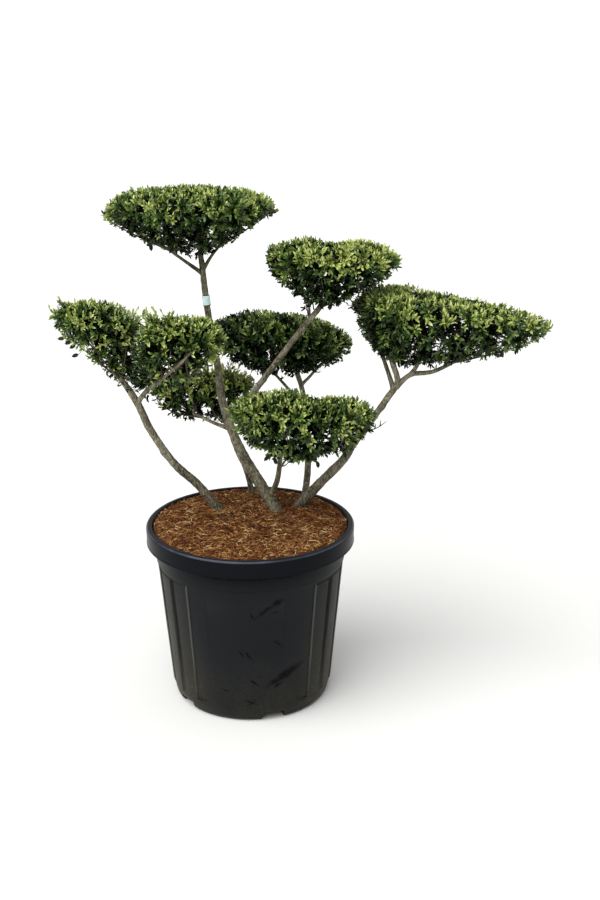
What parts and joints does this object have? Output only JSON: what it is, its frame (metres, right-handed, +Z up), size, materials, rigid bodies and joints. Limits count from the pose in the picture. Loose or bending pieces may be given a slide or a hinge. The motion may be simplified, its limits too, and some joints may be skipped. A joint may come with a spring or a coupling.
{
  "type": "potted cloud-pruned holly shrub",
  "caption": "Cloud-pruned evergreen shrub: slender bare stems rise and fork from a round nursery pot, each bough holding a flat-topped clipped cushion of small leaves.",
  "frame": {"origin": "centre of the pot's flat underside", "axes": "+Z up; the shrub's front, seen in the picture, faces -Y, and its longest bough reaches +X"},
  "size_m": [1.2009, 0.576, 1.272],
  "materials": {
    "pot": "satin moulded charcoal",
    "mulch": "rough brown coir and bark mulch",
    "bark": "matt grey-brown bark",
    "foliage": "small glossy dark green leaves, lime at the tips",
    "label_band": "plain pale mint"
  },
  "bodies": {
    "root": {"pot": "pot", "mulch": "mulch", "stem_left": "bark", "stem_centre": "bark", "stem_back_left": "bark", "stem_back": "bark", "stem_right": "bark", "bough_front": "bark", "bough_left_inner": "bark", "bough_centre_low": "bark", "bough_upper": "bark", "bough_upper_fork": "bark", "bough_top_left": "bark", "bough_top_right": "bark", "bough_back_left": "bark", "bough_back_right": "bark", "bough_right_inner": "bark", "bough_right_outer": "bark", "bough_right_middle": "bark", "cloud_top": "foliage", "cloud_upper_right": "foliage", "cloud_right": "foliage", "cloud_back_centre": "foliage", "cloud_back_left": "foliage", "cloud_front": "foliage", "cloud_left": "foliage", "cloud_left_inner": "foliage", "label_band": "label_band"}
  },
  "joints": []
}
